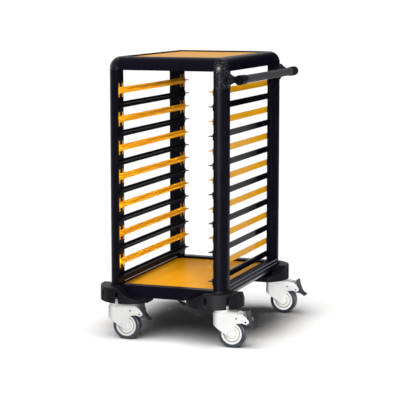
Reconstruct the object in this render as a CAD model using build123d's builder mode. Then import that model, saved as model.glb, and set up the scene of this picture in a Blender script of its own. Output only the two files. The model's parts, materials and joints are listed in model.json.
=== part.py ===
from build123d import *
import os

# Gastronorm pan trolley. Millimetres, +Z up, floor at z = 0.
# +X is the handle side, -Y is the open front where the pans go in.

# Frame
frame_width = 434.0  # over the outside faces of the posts
frame_depth = 666.0  # over the front and back faces of the posts
deck_height = 994.0
profile_wall = 3.0  # wall of the extruded posts and beams
corner_radius = 40.0  # rounded outer edge of posts, beams and corner pieces
post_width = 42.0
post_depth = 53.0
top_beam_height = 46.0
top_beam_width = 51.0  # wide enough for the rounded edge and the panel's step
base_beam_height = 41.0  # front and back base beams
base_beam_depth = 45.0
side_beam_rise = 14.0  # left and right base beams, above the frame's underside
side_beam_height = 41.0
side_beam_width = 38.0
beam_edge_radius = 5.0
side_chamfer = 8.0  # sloping lower edge of the side base beams
side_groove = 6.0  # height of the grooves along the side base beams
side_groove_depth = 2.0
side_groove_low = 17.0  # beam's underside to the middle of the lower groove
side_groove_high = 29.5
joint_gap = 0.15  # between a beam's end and the piece it meets

# Panels
rebate = 9.0  # width of the step that carries a panel
panel_thickness = 5.0
top_panel_drop = 5.0  # top panel below the deck's black border
floor_panel_drop = 9.0  # floor panel below the front base beam's top

# Runners
level_count = 14
first_level_drop = 117.0  # deck to the middle of the highest runner
last_level_rise = 16.0  # side base beam's top to the middle of the lowest runner
runner_web_height = 22.0
runner_wall = 2.5
runner_shelf = 15.0  # how far the shelf stands out of the web
runner_shelf_rise = 2.0  # shelf above the middle of the web
runner_shelf_root = 4.0
runner_shelf_tip = 2.2
runner_end = 4.0  # from the runner's end to the post's end face
clip_plate = 1.5  # plate of an end clip, between the post and the rail
tongue_width = 8.0
tongue_gap = 2.0  # between the tongues of two levels
tongue_depth = 3.6
tongue_inset = 14.0  # post's end face to the middle of the first groove
tongue_spacing = 30.0
groove_gap = 0.2
runner_gap = 0.1  # clip to post and rail to clip

# Handle
handle_reach = 68.5  # post middle to the tube's axis
handle_drop = 73.0  # deck to the tube's axis
handle_tube_radius = 14.0
handle_tube_wall = 2.0
handle_fit = 0.1
knuckle_radius = 17.0
knuckle_length = 34.0
ring_radius = 16.2
ring_length = 16.0
ring_neck = 4.0
cap_thickness = 6.0
collar_wall = 4.0
collar_height = 58.0
collar_back = 8.0  # the collar stops this far short of the post's inner edges
bracket_root = (26.0, 52.0)
bracket_waist = (24.0, 24.0)
bracket_tip = (22.0, 22.0)
bracket_corner = 4.0

# Castors
wheel_radius = 50.0
wheel_width = 32.0
trail = 42.0  # swivel axis to the axle
tyre_thickness = 12.0
tyre_edge = 6.0
core_width = 29.0
core_dish = 1.5
rim_depth = 8.0
hub_radius = 14.0
axle_radius = 5.0
axle_cover = 1.5  # fork wall left over each end of the axle
hub_boss = 1.0  # raised disc on the fork over the axle's end
hub_boss_radius = 11.0
running_gap = 0.05  # radial, at the turning fits
side_gap = 0.4
fork_width = 52.0
fork_plate = 4.0
fork_foot_radius = 13.0  # round lower end of a side plate
fork_round = 4.0
hood_shift = 3.0  # the hood's round back lies this far behind the swivel axis
hood_clearance = 8.0  # tyre to the hood's roof
hood_thickness = 19.0
hood_wall = 5.0
hood_back = 40.0  # axle to where the hood's back edge starts to slope
hood_round = 14.0
hood_end = 66.0  # behind this the arms are open above
neck_radius = 24.0
neck_height = 19.0
neck_flange_radius = 36.0
neck_flange = 8.0
stem_radius = 6.0
stem_reach = 56.0  # stem inside the post
stem_flange_radius = 9.0
stem_flange = 5.0
stem_head = 8.0
socket_radius = 13.0
pedal_pivot_reach = 54.0  # axle to the pedal's pivot, level
pedal_pivot_rise = 45.0  # axle to the pedal's pivot, upright
pedal_pin_radius = 3.0
pedal_pin_end = 1.0  # pin standing out of the fork
pedal_width = 34.0
pedal_edge = 1.2
arm_hole_radius = 2.2
arm_hole = (-34.0, 11.0)  # small hole in each arm, from the pedal's pivot
# Side outlines, level and upright from the pedal's pivot
arm_outline = ((-40.0, -20.0), (-33.0, -7.0), (-12.0, -4.0), (0.0, -8.0), (11.0, -4.0), (11.0, 5.0),
               (-2.0, 20.0), (-14.0, 27.0), (-30.0, 31.0))
pedal_outline = ((-1.0, 37.0), (4.0, 37.0), (7.0, 20.0), (13.0, 1.0), (21.0, -11.0), (34.0, -20.0),
                 (31.0, -24.0), (17.0, -15.0), (10.0, -13.0), (-5.0, -13.0), (-6.0, -9.0), (4.0, -6.0),
                 (6.0, 2.0), (2.0, 19.0))
pedal_boss_radius = 8.0

# Bumpers
bumper_radius = 103.0  # round plan of a bumper
bumper_shift = 36.0  # its middle lies this far inside the post's middle, both ways
bumper_arm = 126.0  # post middle to the end of an arm
bumper_inner = 44.0  # post middle to the inner side of an arm
bumper_drop = 20.0  # bumper's underside below the frame's
bumper_rise = 34.0  # bumper's top above the frame's underside
bumper_wall = 5.0
bumper_plate = 5.0  # the plate under the post
bumper_hollow = 64.0  # post middle to the end of the hollow in an arm
bumper_skirt_span = 46.0
bumper_skirt_rise = 18.0
bumper_tip_radius = 10.0
bumper_edge = 3.0
bumper_collar = 5.0  # height of the ring round the post's foot
bumper_gap = 0.2
# Each bumper has a steep and an easy ramp: places from the post's middle, heights from the frame's underside
steep_ramp = ((34.0, bumper_rise), (58.0, 10.0), (bumper_arm, -5.0))
easy_ramp = ((48.0, bumper_rise), (82.0, 16.0), (bumper_arm, -2.0))
steep_slot = 27.0  # post middle to the slot in the arm with the steep ramp
easy_slot = 38.0
slot_width = 12.0
slot_rise = 23.0  # slot's top above the frame's underside

# Derived heights, from the floor up through the castors
hood_roof = 2 * wheel_radius + hood_clearance
hood_top = hood_roof + hood_thickness
neck_top = hood_top + neck_height
plate_bottom = neck_top + stem_flange
base_bottom = plate_bottom + bumper_plate
base_top = base_bottom + base_beam_height
side_beam_bottom = base_bottom + side_beam_rise
side_beam_top = side_beam_bottom + side_beam_height
floor_height = base_top - floor_panel_drop
stem_top = base_bottom + stem_reach
bumper_bottom = base_bottom - bumper_drop
bumper_top = base_bottom + bumper_rise
top_bottom = deck_height - top_beam_height
top_panel_height = deck_height - top_panel_drop
handle_height = deck_height - handle_drop
first_level = deck_height - first_level_drop
last_level = side_beam_top + last_level_rise
level_pitch = (first_level - last_level) / (level_count - 1)
tongue_height = level_pitch - tongue_gap

# Derived places. The box over everything is centred on the origin in plan.
pedal_pivot = (trail + pedal_pivot_reach, wheel_radius + pedal_pivot_rise)
pedal_reach = pedal_pivot[0] + max(level for level, upright in pedal_outline)
bumper_reach = bumper_radius - bumper_shift
post_reach_x = frame_width / 2 - post_width / 2
post_reach_y = frame_depth / 2 - post_depth / 2
centre_x = -(pedal_reach - bumper_reach) / 2
handle_x = centre_x + post_reach_x + handle_reach
inner_x = frame_width / 2 - post_width
inner_y = frame_depth / 2 - post_depth
corners = {"front_left": (-1, -1), "front_right": (1, -1), "back_left": (-1, 1), "back_right": (1, 1)}
ends = {"front": -1, "back": 1}
sides = {"left": -1, "right": 1}
STANDING = (Align.CENTER, Align.CENTER, Align.MIN)


def post_middle(sx, sy):
    """Plan position of a post's middle, which is also its castor's swivel axis."""
    return (centre_x + sx * post_reach_x, sy * post_reach_y)


def write(part, name):
    """Labels a finished piece and writes it under its name."""
    part.label = name
    export_step(part, "parts/" + name + ".step")


def outer_vertex(sketch, sx, sy):
    """The vertex of a sketch that lies furthest out towards a corner of the trolley."""
    return sketch.vertices().sort_by(lambda v: sx * v.X + sy * v.Y)[-1]


def make_post(sx, sy):
    """A hollow extruded post, round at its outer edge, with grooves for runners and a side channel."""
    x, y = post_middle(sx, sy)
    rib = tongue_depth + profile_wall
    groove = tongue_depth + groove_gap
    groove_y = [sy * (frame_depth / 2 - tongue_inset - k * tongue_spacing) for k in range(2)]
    inner_face = x - sx * post_width / 2
    side_face = y - sy * post_depth / 2
    with BuildPart() as post:
        with BuildSketch(Plane.XY.offset(base_bottom)) as section:
            with Locations((x, y)):
                Rectangle(post_width, post_depth)
            fillet(outer_vertex(section, sx, sy), corner_radius)
            offset(amount=-profile_wall, mode=Mode.SUBTRACT)
            with Locations([(inner_face + sx * rib / 2, gy) for gy in groove_y]):
                Rectangle(rib, tongue_width + 2 * profile_wall)
            with Locations((x, side_face + sy * rib / 2)):
                Rectangle(tongue_width + 2 * profile_wall, rib)
            with Locations([(inner_face + sx * groove / 2, gy) for gy in groove_y]):
                Rectangle(groove, tongue_width + 2 * groove_gap, mode=Mode.SUBTRACT)
            with Locations((x, side_face + sy * groove / 2)):
                Rectangle(tongue_width, groove, mode=Mode.SUBTRACT)
        extrude(amount=top_bottom - joint_gap - base_bottom)
    return post.part


def make_top_corner(sx, sy):
    """A moulded three-way corner piece with a ball-shaped outer corner."""
    x, y = post_middle(sx, sy)
    with BuildPart() as corner:
        with BuildSketch(Plane.XY.offset(top_bottom)):
            with Locations((x, y)):
                Rectangle(post_width, post_depth)
        extrude(amount=top_beam_height)
        uprights = corner.edges().filter_by(Axis.Z)
        upright = uprights.sort_by(lambda e: sx * e.center().X + sy * e.center().Y)[-1]
        rim = corner.edges().group_by(Axis.Z)[-1]
        along_x = rim.filter_by(Axis.X).sort_by(lambda e: sy * e.center().Y)[-1]
        along_y = rim.filter_by(Axis.Y).sort_by(lambda e: sx * e.center().X)[-1]
        fillet([upright, along_x, along_y], corner_radius)
    return corner.part


def beam_outline(outward, depth, bottom, top, panel_top):
    """Corners of a beam's section: outer face at 0, and a step at the inner top edge for a panel."""
    ledge = panel_top - panel_thickness
    step = -outward * (depth - rebate)
    inside = -outward * depth
    return [(0, bottom), (0, top), (step, top), (step, ledge), (inside, ledge), (inside, bottom), (0, bottom)]


def plane_along_x(sy):
    """Upright section plane at the left end of a front or back beam, on its outer face."""
    start = (centre_x - inner_x + joint_gap, sy * frame_depth / 2, 0)
    return Plane(origin=start, x_dir=(0, 1, 0), z_dir=(1, 0, 0))


def plane_along_y(sx):
    """Upright section plane at the back end of a left or right beam, on its outer face."""
    start = (centre_x + sx * frame_width / 2, inner_y - joint_gap, 0)
    return Plane(origin=start, x_dir=(1, 0, 0), z_dir=(0, -1, 0))


def make_top_beam_y(sy):
    """Front or back top beam, running along X between the corner pieces."""
    with BuildPart() as beam:
        with BuildSketch(plane_along_x(sy)) as section:
            with BuildLine():
                Polyline(*beam_outline(sy, top_beam_width, top_bottom, deck_height, top_panel_height))
            make_face()
            fillet(outer_vertex(section, sy, 1), corner_radius)
            offset(amount=-profile_wall, mode=Mode.SUBTRACT)
        extrude(amount=2 * (inner_x - joint_gap))
    return beam.part


def make_top_beam_x(sx):
    """Left or right top beam, running along Y between the corner pieces."""
    with BuildPart() as beam:
        with BuildSketch(plane_along_y(sx)) as section:
            with BuildLine():
                Polyline(*beam_outline(sx, top_beam_width, top_bottom, deck_height, top_panel_height))
            make_face()
            fillet(outer_vertex(section, sx, 1), corner_radius)
            offset(amount=-profile_wall, mode=Mode.SUBTRACT)
        extrude(amount=2 * (inner_y - joint_gap))
    return beam.part


def make_base_beam_y(sy):
    """Front or back base beam, between the posts."""
    with BuildPart() as beam:
        with BuildSketch(plane_along_x(sy)) as section:
            with BuildLine():
                Polyline(*beam_outline(sy, base_beam_depth, base_bottom, base_top, floor_height))
            make_face()
            fillet(outer_vertex(section, sy, 1), beam_edge_radius)
            offset(amount=-profile_wall, mode=Mode.SUBTRACT)
        extrude(amount=2 * (inner_x - joint_gap))
    return beam.part


def make_base_beam_x(sx):
    """Left or right base beam: grooves along both faces and a sloping lower edge."""
    outer_x = -sx * side_groove_depth / 2
    inner_face_x = -sx * (side_beam_width - rebate - side_groove_depth / 2)
    high = side_beam_bottom + side_groove_high
    low = side_beam_bottom + side_groove_low
    with BuildPart() as beam:
        with BuildSketch(plane_along_y(sx)) as section:
            with BuildLine():
                Polyline(*beam_outline(sx, side_beam_width, side_beam_bottom, side_beam_top, floor_height))
            make_face()
            fillet(outer_vertex(section, sx, 1), beam_edge_radius)
            chamfer(outer_vertex(section, sx, -1), side_chamfer)
            with Locations((outer_x, low), (outer_x, high), (inner_face_x, high)):
                Rectangle(side_groove_depth, side_groove, mode=Mode.SUBTRACT)
            offset(amount=-profile_wall, mode=Mode.SUBTRACT)
        extrude(amount=2 * (inner_y - joint_gap))
    return beam.part


def make_panel(top, beam_x, beam_y):
    """A flat panel lying in the steps of four beams, cut back at the corners."""
    half_x = frame_width / 2 - beam_x + rebate - joint_gap
    half_y = frame_depth / 2 - beam_y + rebate - joint_gap
    with BuildPart() as panel:
        with BuildSketch(Plane.XY.offset(top - panel_thickness)):
            with Locations((centre_x, 0)):
                Rectangle(2 * half_x, 2 * (inner_y - joint_gap))
                Rectangle(2 * (inner_x - joint_gap), 2 * half_y)
        extrude(amount=panel_thickness)
    return panel.part


def make_runners(sx, levels):
    """Rails of one side and colour: an upright web with a thin tapered shelf for the pans' rims."""
    length = frame_depth - 2 * runner_end
    back = centre_x + sx * (inner_x - clip_plate - 2 * runner_gap)
    face = -sx * runner_wall
    tip = -sx * (runner_wall + runner_shelf)
    root_half = runner_shelf_root / 2
    tip_half = runner_shelf_tip / 2
    with BuildPart() as runners:
        for level in levels:
            z = first_level - level_pitch * level
            shelf_z = z + runner_shelf_rise
            with BuildSketch(Plane(origin=(back, length / 2, z), x_dir=(1, 0, 0), z_dir=(0, -1, 0))):
                with Locations((face / 2, 0)):
                    Rectangle(runner_wall, runner_web_height)
            extrude(amount=length)
            with BuildSketch(Plane(origin=(back, length / 2, shelf_z), x_dir=(1, 0, 0), z_dir=(0, -1, 0))):
                with BuildLine():
                    Polyline((0, root_half), (face, root_half), (tip, tip_half), (tip, -tip_half),
                             (face, -root_half), (0, -root_half), (0, root_half))
                make_face()
            extrude(amount=length)
    return runners.part


def make_clips(levels):
    """End clips of one colour: a plate behind each rail's end with two tongues in the post's grooves."""
    plate_length = tongue_spacing + tongue_width
    plate_y = frame_depth / 2 - tongue_inset - tongue_spacing / 2
    with BuildPart() as clips:
        for level in levels:
            z = first_level - level_pitch * level
            for sx, sy in corners.values():
                back = centre_x + sx * (inner_x - runner_gap)
                with Locations((back - sx * clip_plate / 2, sy * plate_y, z)):
                    Box(clip_plate, plate_length, runner_web_height)
                tongue_x = back + sx * tongue_depth / 2
                with Locations([(tongue_x, sy * plate_y + side * tongue_spacing / 2, z) for side in (-1, 1)]):
                    Box(tongue_depth, tongue_width, tongue_height)
    return clips.part


def handle_plane(y, sy):
    """Upright plane across the handle's axis at a place along it, facing towards an end."""
    return Plane(origin=(handle_x, y, handle_height), x_dir=(1, 0, 0), z_dir=(0, sy, 0))


def make_handle_tube():
    """The grey grip tube along the handle side."""
    half = post_reach_y + knuckle_length / 2
    with BuildPart() as tube:
        with BuildSketch(handle_plane(half, -1)):
            Circle(handle_tube_radius)
            Circle(handle_tube_radius - handle_tube_wall, mode=Mode.SUBTRACT)
        extrude(amount=2 * half)
    return tube.part


def make_handle_cap(sy):
    """Round cap on a knuckle, closing the tube's end."""
    with BuildPart() as cap:
        with BuildSketch(handle_plane(sy * (post_reach_y + knuckle_length / 2), sy)):
            Circle(knuckle_radius)
        extrude(amount=cap_thickness)
        fillet(cap.edges().sort_by(lambda e: sy * e.center().Y)[-1], cap_thickness / 2)
    return cap.part


def make_handle_bracket(sy):
    """Collar round the post's outside, a flared arm, and the knuckle and ring that hold the tube."""
    x, y = post_middle(1, sy)
    grown = 2 * collar_wall
    bottom = top_bottom - joint_gap - collar_height
    arm_start = x + post_width / 2 + collar_wall / 2
    arm_end = handle_x - knuckle_radius / 2
    outer_y = y + sy * knuckle_length / 2
    knuckle_y = y - sy * knuckle_length / 2
    ring_y = knuckle_y - sy * ring_neck
    sections = ((arm_start, bracket_root), ((arm_start + arm_end) / 2, bracket_waist), (arm_end, bracket_tip))
    with BuildPart() as bracket:
        with BuildSketch(Plane.XY.offset(bottom)) as collar:
            with Locations((x, y)):
                Rectangle(post_width + grown, post_depth + grown)
            fillet(outer_vertex(collar, 1, sy), corner_radius + collar_wall)
            with Locations((x - post_width / 2 - collar_wall, y)):
                Rectangle(2 * (collar_wall + collar_back), post_depth + 2 * grown, mode=Mode.SUBTRACT)
            with Locations((x, y - sy * (post_depth / 2 + collar_wall))):
                Rectangle(post_width + 2 * grown, 2 * (collar_wall + collar_back), mode=Mode.SUBTRACT)
        extrude(amount=collar_height)
        for place_x, size in sections:
            with BuildSketch(Plane(origin=(place_x, y, handle_height), x_dir=(0, 1, 0), z_dir=(1, 0, 0))):
                RectangleRounded(*size, bracket_corner)
        loft()
        with BuildSketch(handle_plane(outer_y, -sy)):
            Circle(knuckle_radius)
        extrude(amount=knuckle_length)
        with BuildSketch(handle_plane(knuckle_y, -sy)):
            Circle((handle_tube_radius + knuckle_radius) / 2)
        extrude(amount=ring_neck)
        with BuildSketch(handle_plane(ring_y, -sy)):
            Circle(ring_radius)
        extrude(amount=ring_length)
        with BuildSketch(handle_plane(outer_y, -sy)):
            Circle(handle_tube_radius + handle_fit)
        extrude(amount=knuckle_length + ring_neck + ring_length, mode=Mode.SUBTRACT)
        with BuildSketch(Plane.XY.offset(bottom)) as inside:
            with Locations((x, y)):
                Rectangle(post_width + 2 * handle_fit, post_depth + 2 * handle_fit)
            fillet(outer_vertex(inside, 1, sy), corner_radius + handle_fit)
        extrude(amount=collar_height, mode=Mode.SUBTRACT)
    return bracket.part


def ramp_plane(x, y, sx, sy, along_x):
    """Upright plane on the frame's outer face along a bumper arm, level axis along the arm."""
    if along_x:
        return Plane(origin=(x, y + sy * post_depth / 2, base_bottom), x_dir=(1, 0, 0), z_dir=(0, -1, 0))
    return Plane(origin=(x + sx * post_width / 2, y, base_bottom), x_dir=(0, 1, 0), z_dir=(1, 0, 0))


def corner_square(x, y, sx, sy, outward, inward):
    """Middle and side of a square from outward of a post's middle to inward of it, both ways."""
    shift = (outward - inward) / 2
    return (x + sx * shift, y + sy * shift), outward + inward


def make_bumper(sx, sy):
    """Moulded corner bumper: round plan, hollow below, a plate under the post, two ramps and three slots."""
    x, y = post_middle(sx, sy)
    trimmed = corner_square(x, y, sx, sy, bumper_radius, bumper_arm)
    inner_notch = corner_square(x, y, sx, sy, -bumper_inner, bumper_inner + 2 * bumper_arm)
    hollow_square = corner_square(x, y, sx, sy, bumper_radius, bumper_hollow)
    skirt_square = corner_square(x, y, sx, sy, bumper_radius, bumper_skirt_span)
    frame_x = x + sx * (post_width / 2 + bumper_gap - bumper_radius)
    frame_y = y + sy * (post_depth / 2 + bumper_gap - bumper_radius)
    corner_level = bumper_radius / 2 ** 0.5 - bumper_shift
    far = 2 * bumper_arm
    steep_along_x = sx == sy
    slot_x = steep_slot if steep_along_x else easy_slot
    slot_y = easy_slot if steep_along_x else steep_slot
    with BuildPart() as bumper:
        with BuildSketch(Plane.XY.offset(bumper_bottom)) as outline:
            with Locations((x - sx * bumper_shift, y - sy * bumper_shift)):
                Circle(bumper_radius)
            with Locations(trimmed[0]):
                Rectangle(trimmed[1], trimmed[1], mode=Mode.INTERSECT)
            with Locations(inner_notch[0]):
                Rectangle(inner_notch[1], inner_notch[1], mode=Mode.SUBTRACT)
            tips = outline.vertices().sort_by(lambda v: max(-sx * (v.X - x), -sy * (v.Y - y)))[-4:]
            fillet(tips, bumper_tip_radius)
        extrude(amount=bumper_top - bumper_bottom)
        levels_up = bumper.edges().group_by(Axis.Z)
        fillet(levels_up[0] + levels_up[-1], bumper_edge)
        for along_x in (True, False):
            inward = -sx if along_x else -sy
            ramp = steep_ramp if along_x == steep_along_x else easy_ramp
            top_end, middle, low_end = [(inward * place, height) for place, height in ramp]
            with BuildSketch(ramp_plane(x, y, sx, sy, along_x)):
                with BuildLine():
                    ThreePointArc(top_end, middle, low_end)
                    Polyline(low_end, (inward * far, low_end[1]), (inward * far, bumper_rise), top_end)
                make_face()
            extrude(amount=(-sy if along_x else sx) * bumper_radius, mode=Mode.SUBTRACT)
        with BuildSketch(Plane.XY.offset(base_bottom)) as ring:
            with Locations((x, y)):
                Rectangle(post_width + 2 * bumper_wall, post_depth + 2 * bumper_wall)
            fillet(outer_vertex(ring, sx, sy), corner_radius + bumper_wall)
        extrude(amount=bumper_rise + bumper_collar)
        with BuildSketch(Plane.XY.offset(bumper_bottom)) as hollow:
            add(outline.sketch)
            offset(amount=-bumper_wall)
            with Locations(hollow_square[0]):
                Rectangle(hollow_square[1], hollow_square[1], mode=Mode.INTERSECT)
        extrude(amount=plate_bottom - bumper_bottom, mode=Mode.SUBTRACT)
        with BuildSketch(Plane.XY.offset(base_bottom)) as pocket:
            with Locations((frame_x, frame_y)):
                Rectangle(2 * bumper_radius, 2 * bumper_radius)
            fillet(outer_vertex(pocket, sx, sy), corner_radius)
        extrude(amount=bumper_rise + bumper_collar, mode=Mode.SUBTRACT)
        with BuildSketch(Plane.XY.offset(bumper_bottom)):
            with Locations(skirt_square[0]):
                Rectangle(skirt_square[1], skirt_square[1])
            add(hollow.sketch, mode=Mode.INTERSECT)
            with Locations((frame_x + sx * bumper_wall, frame_y + sy * bumper_wall)):
                Rectangle(2 * bumper_radius, 2 * bumper_radius, mode=Mode.SUBTRACT)
        extrude(amount=bumper_drop + bumper_skirt_rise, mode=Mode.SUBTRACT)
        slot_height = bumper_drop + slot_rise
        slot_z = bumper_bottom + slot_height / 2
        places = ((x - sx * slot_x, y + sy * bumper_reach, 0.0),
                  (x + sx * bumper_reach, y - sy * slot_y, 90.0),
                  (x + sx * corner_level, y + sy * corner_level, -45.0 * sx * sy))
        for place_x, place_y, turn in places:
            with Locations(Location((place_x, place_y, slot_z), (0, 0, turn))):
                Box(slot_width, 4 * bumper_wall, slot_height, mode=Mode.SUBTRACT)
        with Locations((x, y, base_bottom - bumper_plate / 2)):
            Cylinder(stem_radius + bumper_gap, 2 * bumper_plate, mode=Mode.SUBTRACT)
    return bumper.part


def castor_plane(x, y):
    """Upright plane through a castor's swivel axis: first axis +X, second axis +Z."""
    return Plane(origin=(x, y, 0), x_dir=(1, 0, 0), z_dir=(0, -1, 0))


def from_pivot(outline):
    """Points of an outline given from the pedal's pivot, measured from the swivel axis and the floor."""
    return [(pedal_pivot[0] + level, pedal_pivot[1] + upright) for level, upright in outline]


def make_fork(x, y):
    """Hooded fork: round hood, neck and flange, two side plates down to the axle, arms back to the pedal."""
    half = fork_width / 2
    inside = fork_width - 2 * fork_plate
    foot = fork_foot_radius
    back = -hood_shift - half - hood_round
    above = hood_top + hood_round
    arm_end = pedal_pivot[0] + max(level for level, upright in arm_outline)
    bore_half = half - axle_cover
    with BuildPart() as fork:
        with BuildSketch(Plane.XY):
            with Locations((x - hood_shift, y)):
                Circle(half)
            with Locations((x + (arm_end - hood_shift) / 2, y)):
                Rectangle(arm_end + hood_shift, fork_width)
        extrude(amount=hood_top)
        fillet(fork.edges().group_by(Axis.Z)[-1], hood_round)
        with BuildSketch(castor_plane(x, y)) as profile:
            with BuildLine():
                Polyline((back, above), (back, wheel_radius + hood_back),
                         (trail - foot, wheel_radius - foot / 2), (trail + foot, wheel_radius),
                         *from_pivot(arm_outline), (trail, above), (back, above))
            make_face()
            fillet(profile.vertices(), fork_round)
            with Locations((trail, wheel_radius)):
                Circle(foot)
        extrude(amount=fork_width, both=True, mode=Mode.INTERSECT)
        with BuildSketch(Plane.XY):
            with Locations((x - hood_shift, y)):
                Circle(half - hood_wall)
            with Locations((x + arm_end, y)):
                Rectangle(2 * arm_end, inside)
        extrude(amount=hood_roof, mode=Mode.SUBTRACT)
        with BuildSketch(Plane.XY):
            with Locations((x + hood_end + arm_end, y)):
                Rectangle(2 * arm_end, inside)
        extrude(amount=hood_top, mode=Mode.SUBTRACT)
        for side in (-1, 1):
            boss_middle = (x + trail, y + side * half, wheel_radius)
            with BuildSketch(Plane(origin=boss_middle, x_dir=(1, 0, 0), z_dir=(0, side, 0))):
                Circle(hub_boss_radius)
            extrude(amount=hub_boss)
        with Locations((x, y, hood_top - hood_round)):
            Cylinder(neck_radius, neck_height + hood_round, align=STANDING)
        with Locations((x, y, neck_top - neck_flange)):
            Cylinder(neck_flange_radius, neck_flange, align=STANDING)
        with Locations((x, y, hood_top)):
            Cylinder(stem_radius + running_gap, 2 * (neck_top - hood_roof), mode=Mode.SUBTRACT)
        with BuildSketch(castor_plane(x, y)):
            with Locations(pedal_pivot):
                Circle(pedal_pin_radius + running_gap)
            with Locations(from_pivot([arm_hole])):
                Circle(arm_hole_radius)
        extrude(amount=fork_width, both=True, mode=Mode.SUBTRACT)
        with BuildSketch(castor_plane(x, y)):
            with Locations((trail, wheel_radius)):
                Circle(axle_radius + running_gap)
        extrude(amount=bore_half, both=True, mode=Mode.SUBTRACT)
    return fork.part


def wheel_plane(x, y):
    """Level plane through a wheel's axle: first axis is the radius, second runs along the axle."""
    return Plane(origin=(x + trail, y, wheel_radius), x_dir=(1, 0, 0), z_dir=(0, 0, 1))


def make_wheel_core(x, y):
    """Moulded wheel core: hub, dished web and rim."""
    hub_half = fork_width / 2 - fork_plate - side_gap
    rim_half = core_width / 2
    web_half = rim_half - core_dish
    rim_outer = wheel_radius - tyre_thickness
    rim_inner = rim_outer - rim_depth
    bore = axle_radius + running_gap
    half = [(bore, hub_half), (hub_radius, hub_half), (hub_radius, web_half), (rim_inner, web_half),
            (rim_inner, rim_half), (rim_outer, rim_half)]
    other_half = [(r, -a) for r, a in reversed(half)]
    with BuildPart() as core:
        with BuildSketch(wheel_plane(x, y)):
            with BuildLine():
                Polyline(*half, *other_half, half[0])
            make_face()
        revolve(axis=Axis((x + trail, y, wheel_radius), (0, 1, 0)))
    return core.part


def make_tyre(x, y):
    """Rubber tyre with rounded edges on the core's rim."""
    with BuildPart() as tyre:
        with BuildSketch(wheel_plane(x, y)) as section:
            with Locations((wheel_radius - tyre_thickness / 2, 0)):
                Rectangle(tyre_thickness, wheel_width)
            fillet(section.vertices().group_by(Axis.X)[-1], tyre_edge)
        revolve(axis=Axis((x + trail, y, wheel_radius), (0, 1, 0)))
    return tyre.part


def make_axle(x, y):
    """Axle pin, held in blind bores of both side plates."""
    with BuildPart() as axle:
        with BuildSketch(castor_plane(x, y)):
            with Locations((trail, wheel_radius)):
                Circle(axle_radius)
        extrude(amount=fork_width / 2 - axle_cover - running_gap, both=True)
    return axle.part


def make_pedal(x, y):
    """Rocker brake pedal: an upper and a lower tread about its pivot."""
    corners_of_side = from_pivot(pedal_outline)
    with BuildPart() as pedal:
        with BuildSketch(castor_plane(x, y)) as side:
            with BuildLine():
                Polyline(*corners_of_side, corners_of_side[0])
            make_face()
            fillet(side.vertices(), pedal_edge)
            with Locations(pedal_pivot):
                Circle(pedal_boss_radius)
                Circle(pedal_pin_radius + running_gap, mode=Mode.SUBTRACT)
        extrude(amount=pedal_width / 2, both=True)
    return pedal.part


def make_pedal_pin(x, y):
    """Pivot pin of the pedal, across both arms of the fork."""
    with BuildPart() as pin:
        with BuildSketch(castor_plane(x, y)):
            with Locations(pedal_pivot):
                Circle(pedal_pin_radius)
        extrude(amount=fork_width / 2 + pedal_pin_end, both=True)
    return pin.part


def make_stems():
    """The four castor stems: head under the hood, flange under the bumper's plate, shank up into the post."""
    head_top = hood_roof - side_gap
    with BuildPart() as stems:
        for sx, sy in corners.values():
            with Locations(post_middle(sx, sy) + (head_top - stem_head,)):
                Cylinder(stem_radius, stem_top - head_top + stem_head, align=STANDING)
                Cylinder(stem_flange_radius, stem_head, align=STANDING)
            with Locations(post_middle(sx, sy) + (neck_top + side_gap,)):
                Cylinder(stem_flange_radius, stem_flange - side_gap, align=STANDING)
    return stems.part


def make_stem_sockets():
    """Threaded sockets inside the feet of the posts, one for each castor stem."""
    with BuildPart() as sockets:
        for sx, sy in corners.values():
            with Locations(post_middle(sx, sy) + (base_bottom,)):
                Cylinder(socket_radius, stem_reach + stem_head, align=STANDING)
                Cylinder(stem_radius + running_gap, stem_reach, align=STANDING, mode=Mode.SUBTRACT)
    return sockets.part


os.makedirs("parts", exist_ok=True)
for place, (side_x, side_y) in corners.items():
    castor = post_middle(side_x, side_y)
    write(make_post(side_x, side_y), "post_" + place)
    write(make_top_corner(side_x, side_y), "top_corner_" + place)
    write(make_bumper(side_x, side_y), "bumper_" + place)
    write(make_fork(*castor), "castor_fork_" + place)
    write(make_wheel_core(*castor), "wheel_core_" + place)
    write(make_tyre(*castor), "tyre_" + place)
    write(make_axle(*castor), "axle_" + place)
    write(make_pedal(*castor), "brake_pedal_" + place)
    write(make_pedal_pin(*castor), "pedal_pin_" + place)
for place, side_y in ends.items():
    write(make_top_beam_y(side_y), "top_beam_" + place)
    write(make_base_beam_y(side_y), "base_beam_" + place)
    write(make_handle_bracket(side_y), "handle_bracket_" + place)
    write(make_handle_cap(side_y), "handle_cap_" + place)
for place, side_x in sides.items():
    write(make_top_beam_x(side_x), "top_beam_" + place)
    write(make_base_beam_x(side_x), "base_beam_" + place)
    write(make_runners(side_x, range(0, level_count, 2)), "amber_runners_" + place)
    write(make_runners(side_x, range(1, level_count, 2)), "black_runners_" + place)
write(make_clips(range(0, level_count, 2)), "amber_clips")
write(make_clips(range(1, level_count, 2)), "black_clips")
write(make_panel(top_panel_height, top_beam_width, top_beam_width), "top_panel")
write(make_panel(floor_height, side_beam_width, base_beam_depth), "floor_panel")
write(make_handle_tube(), "handle_tube")
write(make_stems(), "castor_stems")
write(make_stem_sockets(), "stem_sockets")
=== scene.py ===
import json
import math
import bpy
from mathutils import Matrix, Vector


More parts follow.
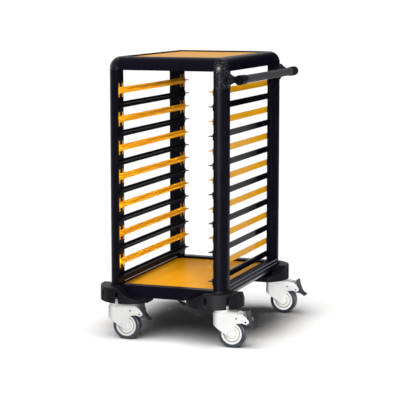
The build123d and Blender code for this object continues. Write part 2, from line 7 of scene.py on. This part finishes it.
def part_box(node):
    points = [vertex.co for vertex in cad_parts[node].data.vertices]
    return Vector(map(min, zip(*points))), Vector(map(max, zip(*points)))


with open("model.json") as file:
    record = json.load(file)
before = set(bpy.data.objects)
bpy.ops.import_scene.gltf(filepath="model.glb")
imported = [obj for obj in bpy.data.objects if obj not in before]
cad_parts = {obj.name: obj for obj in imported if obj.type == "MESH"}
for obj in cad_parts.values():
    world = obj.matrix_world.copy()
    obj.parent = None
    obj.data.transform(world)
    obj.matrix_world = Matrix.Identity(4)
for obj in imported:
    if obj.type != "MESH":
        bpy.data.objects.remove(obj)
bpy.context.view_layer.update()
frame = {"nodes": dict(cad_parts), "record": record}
nodes = frame["nodes"]

CORNERS = ("front_left", "front_right", "back_left", "back_right")

# The photograph's camera: place and reach in metres, turn and tilt in radians,
# focal length in pixels of a 400 pixel image
CAMERA_PLACE = (1.8435, -5.1906, 1.2184)
CAMERA_TURN = 0.3454
CAMERA_TILT = 0.1363
CAMERA_REACH = 200.0
FOCAL_PIXELS = 1526.0
IMAGE_PIXELS = 400
SENSOR_MM = 36.0

# The floor and the surroundings, as they are seen and as they light the pieces
FLOOR_HALF = 400.0
FLOOR_WHITE = (0.98, 0.98, 0.98)
FLOOR_BOUNCE = (0.55, 0.55, 0.55)
WORLD_WHITE = 1.0
WORLD_LEVEL = 0.06
SEEING_RAYS = ("Is Camera Ray", "Is Glossy Ray", "Is Transmission Ray")

# The card in reflections: its distance behind, its top,
# and the left, right and lower edge of each quad
FLAG_DEPTH = 2.2
FLAG_TOP = 2.2
FLAG_QUADS = ((-0.15, 0.828, 0.0), (0.828, 1.03, 0.57), (1.03, 3.4, 0.0))

# The card under the base: its edges and its height
SHADE_LEFT, SHADE_RIGHT = -0.328, 0.288
SHADE_FRONT, SHADE_BACK = -0.19, 0.33
SHADE_HEIGHT = 0.14
BASE_TOP = 0.23  # pieces that end below this height shade the floor

# Directions that several lamps shine from
LOW_RIGHT = (0.512, -0.852, 0.105)
FRONT_RIGHT = (0.45, -0.85, 0.25)
BACK_LEFT = (-0.75, 0.45, 0.48)
GLINT = (0.4326, -0.871, 0.227)

# Each lamp: name, direction, level on a square face, width in degrees,
# group it lights, group that blocks it.
# Only the deck blocks left_fill, so it reaches under the rails' shelves
# and leaves the high back ends darker.
LAMPS = (
    ("floor_light", (0.0, -0.50, 0.866), 1.14, 70, "floor_only", "near_floor"),
    ("key", LOW_RIGHT, 0.95, 14, "other_pieces", "trolley"),
    ("front_fill", (0.1, -0.57, 0.81), 0.50, 40, "other_pieces", "trolley"),
    ("panel_fill", (0.1, -0.70, 0.70), 0.56, 40, "floor_sheet", "trolley"),
    ("right_fill", (0.90, -0.2, 0.40), 0.05, 50, "other_pieces", "trolley"),
    ("left_fill", (0.60, -0.80, 0.30), 0.56, 24, "left_rails", "deck"),
    ("right_key", LOW_RIGHT, 0.40, 14, "right_rails", "trolley"),
    ("right_high", (0.600, -0.690, 0.400), 0.42, 8, "right_rails", "trolley"),
    ("white_key", (0.66, -0.70, 0.24), 0.81, 30, "white_pieces", "trolley"),
    ("white_near", FRONT_RIGHT, 0.25, 50, "near_castor", "trolley"),
    ("white_back", FRONT_RIGHT, 0.44, 50, "back_castors", "trolley"),
    ("white_rear", BACK_LEFT, 0.22, 60, "white_pieces", "trolley"),
    ("back_fill", BACK_LEFT, 0.30, 60, "other_pieces", "trolley"),
    ("strip", GLINT, 3.0, 3, "uprights", "trolley"),
    ("spark", GLINT, 7.0, 3, "tops", "trolley"),
)
HIGHLIGHT_LAMPS = ("strip", "spark")

# Values that several finishes share
COAT_BLACK = (0.0028, 0.0025, 0.0064)
COAT_SPECULAR = 0.035
RUNNER_SPECULAR = 0.03
DRAWN_WIDE = (8, 0.4, 8)
DRAWN_FINE = (1, 0.05, 1)
BEVEL_SAMPLES = 4
EDGE_DOT = 0.7  # an edge is fully rubbed where its rounded and flat directions meet at this cosine
MIX_BASE, MIX_OTHER, MIX_RESULT = 6, 7, 2  # colour sockets of a Mix node


class Finish:
    """A node material: its tree, its Principled shader and short calls to add pattern nodes."""

    def __init__(self, name, colour, roughness, specular):
        self.material = bpy.data.materials.new(name)
        self.material.use_nodes = True
        self.tree = self.material.node_tree
        self.shader = self.tree.nodes["Principled BSDF"]
        self.shader.inputs["Base Color"].default_value = (*colour, 1.0)
        self.shader.inputs["Roughness"].default_value = roughness
        self.shader.inputs["Specular IOR Level"].default_value = specular
        self.coordinates = self.add("ShaderNodeTexCoord")
        self.normal = None

    def add(self, kind, **settings):
        """A new node of a kind, with its settings."""
        node = self.tree.nodes.new(kind)
        for key, value in settings.items():
            setattr(node, key, value)
        return node

    def link(self, source, target):
        """Joins an output to an input."""
        self.tree.links.new(source, target)

    def place(self, scale=(1, 1, 1), shift=(0, 0, 0)):
        """Object coordinates, stretched and then shifted."""
        mapping = self.add("ShaderNodeMapping")
        mapping.inputs["Scale"].default_value = scale
        mapping.inputs["Location"].default_value = shift
        self.link(self.coordinates.outputs["Object"], mapping.inputs["Vector"])
        return mapping.outputs["Vector"]

    def noise(self, scale, detail=3.0, stretch=(1, 1, 1)):
        """Noise from zero to one over the stretched coordinates."""
        texture = self.add("ShaderNodeTexNoise")
        texture.inputs["Scale"].default_value = scale
        texture.inputs["Detail"].default_value = detail
        self.link(self.place(stretch), texture.inputs["Vector"])
        return texture.outputs["Fac"]

    def cells(self, scale):
        """Distance to the nearest of scattered points."""
        texture = self.add("ShaderNodeTexVoronoi")
        texture.inputs["Scale"].default_value = scale
        self.link(self.place(), texture.inputs["Vector"])
        return texture.outputs["Distance"]

    def rings(self, middle, reach):
        """One at a middle point in the XZ plane, falling to zero at a reach round it."""
        scale = 1.0 / reach
        gradient = self.add("ShaderNodeTexGradient", gradient_type="SPHERICAL")
        shift = (-middle[0] * scale, 0.0, -middle[2] * scale)
        self.link(self.place((scale, 0.0, scale), shift), gradient.inputs["Vector"])
        return gradient.outputs["Fac"]

    def soft_edges(self, radius):
        """Shades sharp edges as if rounded; returns a mask that is one on those edges."""
        bevel = self.add("ShaderNodeBevel", samples=BEVEL_SAMPLES)
        bevel.inputs["Radius"].default_value = radius
        geometry = self.add("ShaderNodeNewGeometry")
        dot = self.add("ShaderNodeVectorMath", operation="DOT_PRODUCT")
        self.link(bevel.outputs["Normal"], dot.inputs[0])
        self.link(geometry.outputs["Normal"], dot.inputs[1])
        self.normal = bevel.outputs["Normal"]
        return self.spread(dot.outputs["Value"], start=1.0, full=EDGE_DOT)

    def rubbed(self, base, edge, mask):
        """One colour, with another on a mask that fine noise breaks up."""
        broken = self.add("ShaderNodeMath", operation="MULTIPLY")
        self.link(mask, broken.inputs[0])
        self.link(self.noise(scale=350.0, detail=4.0), broken.inputs[1])
        return self.mixed(base, edge, broken.outputs["Value"])

    def worn(self, base, edge, mask):
        """Base colour rubbed to another colour on a mask."""
        self.link(self.rubbed(base, edge, mask), self.shader.inputs["Base Color"])

    def facing(self, axis, start, full, both=False):
        """A mask from one axis of the surface's direction: zero at start, one at full."""
        geometry = self.add("ShaderNodeNewGeometry")
        axes = self.add("ShaderNodeSeparateXYZ")
        self.link(geometry.outputs["Normal"], axes.inputs["Vector"])
        along = axes.outputs[axis]
        if both:
            size = self.add("ShaderNodeMath", operation="ABSOLUTE")
            self.link(along, size.inputs[0])
            along = size.outputs["Value"]
        return self.spread(along, start, full)

    def along(self, axis, low, high):
        """A mask from one axis of the place: zero at low, one at high."""
        axes = self.add("ShaderNodeSeparateXYZ")
        self.link(self.coordinates.outputs["Object"], axes.inputs["Vector"])
        return self.spread(axes.outputs[axis], low, high)

    def spread(self, value, start, full):
        """A value made zero at start and one at full, and held to that range."""
        spread = self.add("ShaderNodeMapRange")
        spread.inputs["From Min"].default_value = start
        spread.inputs["From Max"].default_value = full
        self.link(value, spread.inputs["Value"])
        return spread.outputs["Result"]

    def mixed(self, base, other, mask):
        """One colour, with another on a mask; each is a link or three numbers."""
        mix = self.add("ShaderNodeMix", data_type="RGBA")
        self.link(mask, mix.inputs["Factor"])
        for socket, colour in ((mix.inputs[MIX_BASE], base), (mix.inputs[MIX_OTHER], other)):
            if isinstance(colour, tuple):
                socket.default_value = (*colour, 1.0)
            else:
                self.link(colour, socket)
        return mix.outputs[MIX_RESULT]

    def ramp(self, factor, stops):
        """A colour ramp through (position, colour) stops."""
        ramp = self.add("ShaderNodeValToRGB")
        elements = ramp.color_ramp.elements
        while len(elements) < len(stops):
            elements.new(0.5)
        for element, (position, colour) in zip(elements, stops):
            element.position = position
            element.color = (*colour, 1.0)
        self.link(factor, ramp.inputs["Fac"])
        return ramp.outputs["Color"]

    def colour(self, factor, stops):
        """Base colour from a colour ramp."""
        self.link(self.ramp(factor, stops), self.shader.inputs["Base Color"])

    def roughness(self, factor, low, high):
        """Roughness from low, where the factor is zero, to high, where it is one."""
        spread = self.add("ShaderNodeMapRange")
        spread.inputs["To Min"].default_value = low
        spread.inputs["To Max"].default_value = high
        self.link(factor, spread.inputs["Value"])
        self.link(spread.outputs["Result"], self.shader.inputs["Roughness"])

    def bump(self, height, strength, distance):
        """Shading relief from a height, over the soft edges where there are any."""
        bump = self.add("ShaderNodeBump")
        bump.inputs["Strength"].default_value = strength
        bump.inputs["Distance"].default_value = distance
        self.link(height, bump.inputs["Height"])
        if self.normal:
            self.link(self.normal, bump.inputs["Normal"])
        self.link(bump.outputs["Normal"], self.shader.inputs["Normal"])


def shades(colour, spread):
    """Three stops round a colour: a little darker, itself, a little lighter."""
    dark = tuple(c * (1 - spread) for c in colour)
    light = tuple(min(1.0, c * (1 + spread)) for c in colour)
    return [(0.3, dark), (0.5, colour), (0.7, light)]


def black_coat():
    """Satin powder coat of the extrusions: nearly black, fine orange peel, paler on edges."""
    finish = Finish("black_coat", COAT_BLACK, roughness=0.32, specular=COAT_SPECULAR)
    mask = finish.soft_edges(radius=0.0008)
    coat = finish.ramp(finish.noise(scale=9.0), shades(COAT_BLACK, spread=0.25))
    finish.worn(coat, edge=(0.03, 0.03, 0.035), mask=mask)
    finish.roughness(finish.noise(scale=60.0), low=0.26, high=0.40)
    finish.bump(finish.noise(scale=900.0, detail=2.0), strength=0.10, distance=0.0004)
    return finish.material


def groove_highlight_coat(beam, line):
    """The black coat on a side base beam, with painted highlight lines on each side, along a
    groove's edge and near the top edge.

    The lower lip of the beam has a pale painted reflection of the white floor from the front end to
    past the middle.
    """
    # lip is the pale colour of a painted reflection of the white floor on the beam's lower lip
    lip = (0.30, 0.30, 0.28)
    low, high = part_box(beam)
    finish = Finish("groove_highlight_" + beam, COAT_BLACK, roughness=0.34, specular=COAT_SPECULAR)
    mask = finish.soft_edges(radius=0.0008)
    # Heights in millimetres above the beam's lower edge, each with the colour there: painted
    # highlight lines, and on the front part also the lip's painted floor reflection
    plain = [(24.4, COAT_BLACK), (25.0, line), (26.4, line), (27.0, COAT_BLACK),
             (37.6, COAT_BLACK), (38.2, line), (39.4, line), (40.0, COAT_BLACK)]
    lipped = [(2.0, COAT_BLACK), (4.0, lip), (12.0, lip), (15.0, COAT_BLACK)] + plain
    rise = 1000 * (high[2] - low[2])
    front, back = [finish.ramp(finish.along("Z", low[2], high[2]),
                               [(height / rise, shade) for height, shade in levels])
                   for levels in (lipped, plain)]
    # painted highlight lines, with the lip's painted reflection only towards the front
    groove_highlights = finish.mixed(front, back, finish.along("Y", low=0.06, high=0.14))
    coat = finish.ramp(finish.noise(scale=9.0), shades(COAT_BLACK, spread=0.25))
    sides = finish.facing("X", start=0.6, full=0.8, both=True)
    finish.worn(finish.mixed(coat, groove_highlights, sides), edge=(0.05, 0.05, 0.06), mask=mask)
    finish.roughness(finish.noise(scale=60.0), low=0.28, high=0.42)
    finish.bump(finish.noise(scale=900.0, detail=2.0), strength=0.10, distance=0.0004)
    return finish.material


def grained_black():
    """Grained black moulding of corners and handle brackets: coarse grain, with bright specks
    painted in as glints of the grain catching light.
    """
    colour = (0.006, 0.006, 0.010)
    finish = Finish("grained_black", colour, roughness=0.32, specular=0.06)
    mask = finish.soft_edges(radius=0.0012)
    # painted glints: the bright stop stands in for grain catching the light
    painted_glints = [(0.50, (0.003, 0.003, 0.0055)), (0.61, colour), (0.68, (0.14, 0.14, 0.16))]
    grain = finish.ramp(finish.noise(scale=320.0, detail=2.0), painted_glints)
    finish.worn(grain, edge=(0.05, 0.05, 0.055), mask=mask)
    finish.roughness(finish.noise(scale=300.0), low=0.22, high=0.42)
    finish.bump(finish.cells(scale=420.0), strength=0.25, distance=0.0005)
    return finish.material


def charcoal_moulding():
    """Matte charcoal bumper plastic with fine grain, scuffed pale along its edges."""
    colour = (0.0034, 0.0037, 0.0055)
    finish = Finish("charcoal_moulding", colour, roughness=0.42, specular=0.08)
    mask = finish.soft_edges(radius=0.0015)
    mottle = finish.ramp(finish.noise(scale=12.0, detail=5.0), shades(colour, spread=0.25))
    finish.worn(mottle, edge=(0.06, 0.062, 0.07), mask=mask)
    finish.roughness(finish.noise(scale=180.0), low=0.40, high=0.62)
    finish.bump(finish.noise(scale=700.0, detail=2.0), strength=0.2, distance=0.0005)
    return finish.material


def drawn_runner(name, colour, edge, mottle, spread, smooth, rough, grain):
    """Runner plastic drawn along its length: a mottle of close shades, paler on rubbed edges.

    Mottle is the scale of its noise, grain the strength of the drawn lines.
    """
    finish = Finish(name, colour, roughness=smooth, specular=RUNNER_SPECULAR)
    mask = finish.soft_edges(radius=0.0005)
    finish.worn(finish.ramp(finish.noise(mottle), shades(colour, spread)), edge, mask)
    finish.roughness(finish.noise(scale=40.0, stretch=DRAWN_WIDE), low=smooth, high=rough)
    lines = finish.noise(scale=300.0, detail=2.0, stretch=DRAWN_FINE)
    finish.bump(lines, strength=grain, distance=0.0003)
    return finish.material


def black_runner(name, smooth, rough, grain):
    """Black runner plastic, between two roughnesses."""
    colour, edge = (0.0025, 0.0025, 0.0050), (0.03, 0.03, 0.035)
    mottle, spread = 20.0, 0.3
    return drawn_runner(name, colour, edge, mottle, spread, smooth, rough, grain)


def amber_runner(name, smooth, rough, grain):
    """Amber runner plastic, a warm orange yellow, between two roughnesses."""
    colour, edge = (0.93, 0.425, 0.008), (0.95, 0.50, 0.05)
    mottle, spread = 12.0, 0.06
    return drawn_runner(name, colour, edge, mottle, spread, smooth, rough, grain)


def amber_sheet(name, specular, smooth, rough):
    """Satin amber sheet of a panel, brushed in streaks from front to back, on a black underside."""
    colour, underside = (0.88, 0.385, 0.004), (0.008, 0.008, 0.010)
    finish = Finish(name, colour, roughness=smooth, specular=specular)
    streaks = [(0.30, (0.855, 0.366, 0.0035)), (0.5, colour), (0.72, (0.905, 0.404, 0.005))]
    sheet = finish.ramp(finish.noise(scale=5.0, detail=6.0, stretch=(9, 0.6, 1)), streaks)
    backed = finish.mixed(sheet, underside, finish.facing("Z", start=-0.4, full=-0.6))
    finish.link(backed, finish.shader.inputs["Base Color"])
    finish.roughness(finish.noise(scale=30.0, detail=4.0, stretch=(10, 0.5, 1)), smooth, rough)
    lines = finish.noise(scale=240.0, detail=2.0, stretch=(1, 0.06, 1))
    finish.bump(lines, strength=0.08, distance=0.0003)
    return finish.material


def grip_grey():
    """Grey grip coating of the handle tube, lightly textured."""
    colour = (0.050, 0.050, 0.056)
    finish = Finish("grip_grey", colour, roughness=0.50, specular=0.08)
    finish.colour(finish.noise(scale=30.0), shades(colour, spread=0.12))
    finish.roughness(finish.noise(scale=200.0), low=0.40, high=0.58)
    finish.bump(finish.noise(scale=1100.0, detail=2.0), strength=0.2, distance=0.0004)
    return finish.material


def core_middle(corner):
    """The middle of one corner's wheel core."""
    low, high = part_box("wheel_core_" + corner)
    return [(a + b) / 2 for a, b in zip(low, high)]


def fork_white(corner):
    """Glossy white fork of one corner: a faint flow mottle, with painted shade over the arms' small
    hole.

    The hole lies right of and above the middle of the wheel.
    """
    # dark is the colour of the painted shade in the arms' small hole
    colour, dark = (0.87, 0.87, 0.855), (0.02, 0.02, 0.022)
    hole_right, hole_up, hole_shade_reach = 0.020, 0.056, 0.010
    middle = core_middle(corner)
    hole = (middle[0] + hole_right, 0.0, middle[2] + hole_up)
    finish = Finish("fork_white_" + corner, colour, roughness=0.28, specular=0.3)
    mask = finish.soft_edges(radius=0.0015)
    mottle = finish.ramp(finish.noise(scale=18.0), shades(colour, spread=0.03))
    rubbed = finish.rubbed(mottle, edge=(0.93, 0.93, 0.92), mask=mask)
    # painted shade: a dark spot over the arms' small hole
    hole_shade = finish.spread(finish.rings(hole, hole_shade_reach), start=0.66, full=0.74)
    finish.link(finish.mixed(rubbed, dark, hole_shade), finish.shader.inputs["Base Color"])
    finish.roughness(finish.noise(scale=80.0), low=0.22, high=0.34)
    finish.bump(finish.noise(scale=220.0, detail=2.0), strength=0.06, distance=0.0004)
    return finish.material


def core_cream(corner):
    """Wheel core of one corner: white rim, thin grey ring, cream disc, faint ring at the hub."""
    white, grey = (0.86, 0.86, 0.85), (0.14, 0.145, 0.15)
    cream, dull = (0.84, 0.83, 0.78), (0.45, 0.44, 0.41)
    middle = core_middle(corner)
    finish = Finish("core_cream_" + corner, cream, roughness=0.36, specular=0.3)
    mask = finish.soft_edges(radius=0.0008)
    # Radii in millimetres, from the rim inwards, each with the colour there
    reach = 50.0
    radii = [(38.0, white), (30.4, white), (29.8, grey), (27.8, grey), (27.2, cream),
             (18.6, cream), (17.8, dull), (16.6, dull), (15.8, cream)]
    stops = [(1 - radius / reach, colour) for radius, colour in radii]
    bands = finish.ramp(finish.rings(middle, reach / 1000), stops)
    finish.worn(bands, edge=(0.90, 0.89, 0.86), mask=mask)
    finish.roughness(finish.noise(scale=120.0), low=0.28, high=0.44)
    finish.bump(finish.noise(scale=320.0, detail=2.0), strength=0.08, distance=0.0004)
    return finish.material


def tyre_slate():
    """Slate grey tyre rubber with a dusty mottle."""
    colour = (0.016, 0.020, 0.030)
    finish = Finish("tyre_slate", colour, roughness=0.32, specular=0.5)
    finish.colour(finish.noise(scale=60.0, detail=5.0), shades(colour, spread=0.25))
    finish.roughness(finish.noise(scale=150.0), low=0.22, high=0.42)
    finish.bump(finish.noise(scale=600.0), strength=0.15, distance=0.0005)
    return finish.material


def pedal_grey():
    """Dark grey plastic of pedals and their pins, paler on rubbed edges."""
    colour = (0.030, 0.033, 0.040)
    finish = Finish("pedal_grey", colour, roughness=0.45, specular=0.3)
    mask = finish.soft_edges(radius=0.001)
    mottle = finish.ramp(finish.noise(scale=40.0), shades(colour, spread=0.2))
    finish.worn(mottle, edge=(0.10, 0.10, 0.11), mask=mask)
    finish.roughness(finish.noise(scale=160.0), low=0.36, high=0.55)
    finish.bump(finish.noise(scale=700.0, detail=2.0), strength=0.2, distance=0.0005)
    return finish.material


def plated_steel():
    """Plated steel of axles, stems and sockets."""
    colour = (0.55, 0.55, 0.56)
    finish = Finish("plated_steel", colour, roughness=0.30, specular=0.5)
    finish.shader.inputs["Metallic"].default_value = 1.0
    finish.colour(finish.noise(scale=60.0), shades(colour, spread=0.08))
    finish.roughness(finish.noise(scale=200.0), low=0.22, high=0.40)
    finish.bump(finish.noise(scale=800.0, detail=2.0), strength=0.08, distance=0.0003)
    return finish.material


# One finish for each material slot, and finishes of their own for some nodes
SLOT_FINISHES = {
    "amber_plastic": amber_runner("amber_runner", smooth=0.46, rough=0.64, grain=0.12),
    "amber_panel": amber_sheet("amber_top", specular=0.03, smooth=0.30, rough=0.48),
    "black_plastic": black_runner("black_runner", smooth=0.30, rough=0.48, grain=0.15),
    "black_profile": black_coat(),
    "corner_moulding": grained_black(),
    "bumper_moulding": charcoal_moulding(),
    "grip_tube": grip_grey(),
    "tyre": tyre_slate(),
    "pedal_plastic": pedal_grey(),
    "plated_steel": plated_steel(),
}
SLOT_FINISHES["handle_moulding"] = SLOT_FINISHES["corner_moulding"]
NODE_FINISHES = {
    **{"wheel_core_" + corner: core_cream(corner) for corner in CORNERS},
    **{"castor_fork_" + corner: fork_white(corner) for corner in CORNERS},
    **{"pedal_pin_" + corner: SLOT_FINISHES["pedal_plastic"] for corner in CORNERS},
    "amber_runners_right": amber_runner("amber_gloss", smooth=0.08, rough=0.14, grain=0.02),
    "black_runners_right": black_runner("black_gloss", smooth=0.08, rough=0.14, grain=0.02),
    "floor_panel": amber_sheet("amber_floor", specular=0.013, smooth=0.30, rough=0.46),
    # line gives the colour of the painted highlight lines on each side base beam
    "base_beam_left": groove_highlight_coat("base_beam_left", line=(0.60, 0.60, 0.64)),
    "base_beam_right": groove_highlight_coat("base_beam_right", line=(0.25, 0.25, 0.30)),
    "handle_cap_front": SLOT_FINISHES["black_plastic"],
    "handle_cap_back": SLOT_FINISHES["black_plastic"],
}


def dress_nodes():
    """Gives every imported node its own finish, or else that of its material slot."""
    for subpart in frame["record"]["subparts"]:
        name, slot = subpart["node"], subpart["material_slot"]
        mesh = nodes[name].data
        mesh.materials.clear()
        mesh.materials.append(NODE_FINISHES.get(name) or SLOT_FINISHES[slot])


def make_sheet(name, corners, material):
    """An object of flat quads, one for every four corners in turn."""
    mesh = bpy.data.meshes.new(name)
    quads = [(first, first + 1, first + 2, first + 3) for first in range(0, len(corners), 4)]
    mesh.from_pydata(corners, [], quads)
    mesh.materials.append(material)
    sheet = bpy.data.objects.new(name, mesh)
    bpy.context.scene.collection.objects.link(sheet)
    return sheet


def make_floor():
    """A wide white floor that keeps the trolley's shadow and throws back less than it shows."""
    paint = Finish("floor_paint", FLOOR_BOUNCE, roughness=0.9, specular=0.0)
    path = paint.add("ShaderNodeLightPath")
    shade = FLOOR_BOUNCE
    for kind in SEEING_RAYS:
        shade = paint.mixed(shade, FLOOR_WHITE, path.outputs[kind])
    paint.link(shade, paint.shader.inputs["Base Color"])
    near, far = -FLOOR_HALF, FLOOR_HALF
    corners = [(near, near, 0), (far, near, 0), (far, far, 0), (near, far, 0)]
    floor = make_sheet("floor", corners, paint.material)
    return floor


def make_world():
    """Soft white light all round; camera, mirror and glass rays see plain white."""
    world = bpy.data.worlds.new("studio")
    bpy.context.scene.world = world
    world.use_nodes = True
    tree = world.node_tree
    background = tree.nodes["Background"]
    background.inputs["Color"].default_value = (1, 1, 1, 1)
    path = tree.nodes.new("ShaderNodeLightPath")
    level = None
    for kind in SEEING_RAYS:
        strength = tree.nodes.new("ShaderNodeMapRange")
        strength.inputs["To Min"].default_value = WORLD_LEVEL
        strength.inputs["To Max"].default_value = WORLD_WHITE
        if level:
            tree.links.new(level, strength.inputs["To Min"])
        tree.links.new(path.outputs[kind], strength.inputs["Value"])
        level = strength.outputs["Result"]
    tree.links.new(level, background.inputs["Strength"])


def make_card(name, corners, hidden_from):
    """A black studio card of one or more quads, hidden from the named kinds of ray."""
    black = Finish(name, (0.0, 0.0, 0.0), roughness=1.0, specular=0.0).material
    card = make_sheet(name, corners, black)
    for ray in hidden_from:
        setattr(card, "visible_" + ray, False)
    return card


def make_flag():
    """The card that keeps the black right sides deep in reflections.

    Its middle quad stops above the floor, and the right runners mirror white through that gap.
    """
    corners = [(x, FLAG_DEPTH, z) for left, right, low in FLAG_QUADS
               for x, z in ((left, low), (right, low), (right, FLAG_TOP), (left, FLAG_TOP))]
    make_card("flag", corners, hidden_from=("camera", "diffuse", "transmission"))


def make_shade():
    """The card that deepens the shadow under the base; only shadow rays meet it."""
    corners = [(SHADE_LEFT, SHADE_FRONT, SHADE_HEIGHT), (SHADE_RIGHT, SHADE_FRONT, SHADE_HEIGHT),
               (SHADE_RIGHT, SHADE_BACK, SHADE_HEIGHT), (SHADE_LEFT, SHADE_BACK, SHADE_HEIGHT)]
    return make_card("shade", corners, hidden_from=("camera", "diffuse", "glossy", "transmission"))


def make_sun(name, place, level, angle, receivers, blockers):
    """A sun at a place, facing the origin, that adds the given level to a face square to it.

    Highlight lamps leave matte shading as it is.
    """
    lamp = bpy.data.lights.new(name, "SUN")
    lamp.energy = level * math.pi
    lamp.angle = math.radians(angle)
    holder = bpy.data.objects.new(name, lamp)
    holder.location = place
    inward = Vector((0, 0, 0)) - Vector(place)
    holder.rotation_euler = inward.to_track_quat("-Z", "Y").to_euler()
    bpy.context.scene.collection.objects.link(holder)
    holder.light_linking.receiver_collection = receivers
    holder.light_linking.blocker_collection = blockers
    holder.visible_diffuse = name not in HIGHLIGHT_LAMPS


def collect(name, members):
    """A collection of objects that a lamp shines on or that block it."""
    group = bpy.data.collections.new(name)
    for member in members:
        group.objects.link(member)
    return group


def pick(start="", end="", part=""):
    """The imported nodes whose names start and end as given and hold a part."""
    return [node for name, node in nodes.items()
            if name.startswith(start) and name.endswith(end) and part in name]


def make_lamps(floor, shade):
    """Every lamp, linked to the group it lights and to the group that blocks it."""
    white_names = ("castor_fork", "wheel_core")
    white_nodes, right_rails = pick(white_names), pick(end="runners_right")
    low_nodes = [node for name, node in nodes.items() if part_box(name)[1][2] < BASE_TOP]
    lit_apart = white_nodes + right_rails
    members = {
        "white_pieces": white_nodes,
        "other_pieces": [node for node in nodes.values() if node not in lit_apart],
        "floor_only": [floor],
        "near_floor": low_nodes + [shade],
        "trolley": list(nodes.values()),
        "floor_sheet": [nodes["floor_panel"]],
        "deck": pick("top_"),
        "left_rails": pick(end="runners_left"),
        "right_rails": right_rails,
        "near_castor": pick(white_names, part="_front_right"),
        "back_castors": pick(white_names, part="_back_"),
        "uprights": pick(("post", "bumper_front_right")),
        "tops": pick("top_corner"),
    }
    groups = {name: collect(name, pieces) for name, pieces in members.items()}
    for name, place, level, angle, lit, blocking in LAMPS:
        make_sun(name, place, level, angle, groups[lit], groups[blocking])


def make_camera():
    """The photograph's camera, from its place, turn and tilt."""
    sine, cosine = math.sin(CAMERA_TURN), math.cos(CAMERA_TURN)
    level = Vector((-sine, cosine, 0))
    forward = level * math.cos(CAMERA_TILT) - Vector((0, 0, 1)) * math.sin(CAMERA_TILT)
    right = Vector((cosine, sine, 0))
    up = right.cross(forward)
    camera = bpy.data.cameras.new("photo_camera")
    camera.sensor_width = SENSOR_MM
    camera.lens = FOCAL_PIXELS * SENSOR_MM / IMAGE_PIXELS
    camera.clip_end = CAMERA_REACH
    holder = bpy.data.objects.new("photo_camera", camera)
    axes = Matrix((right, up, -forward)).transposed()
    holder.matrix_world = Matrix.Translation(CAMERA_PLACE) @ axes.to_4x4()
    bpy.context.scene.collection.objects.link(holder)
    bpy.context.scene.camera = holder


dress_nodes()
floor = make_floor()
make_world()
make_flag()
shade = make_shade()
make_lamps(floor, shade)
make_camera()
bpy.context.scene.view_settings.view_transform = "Standard"
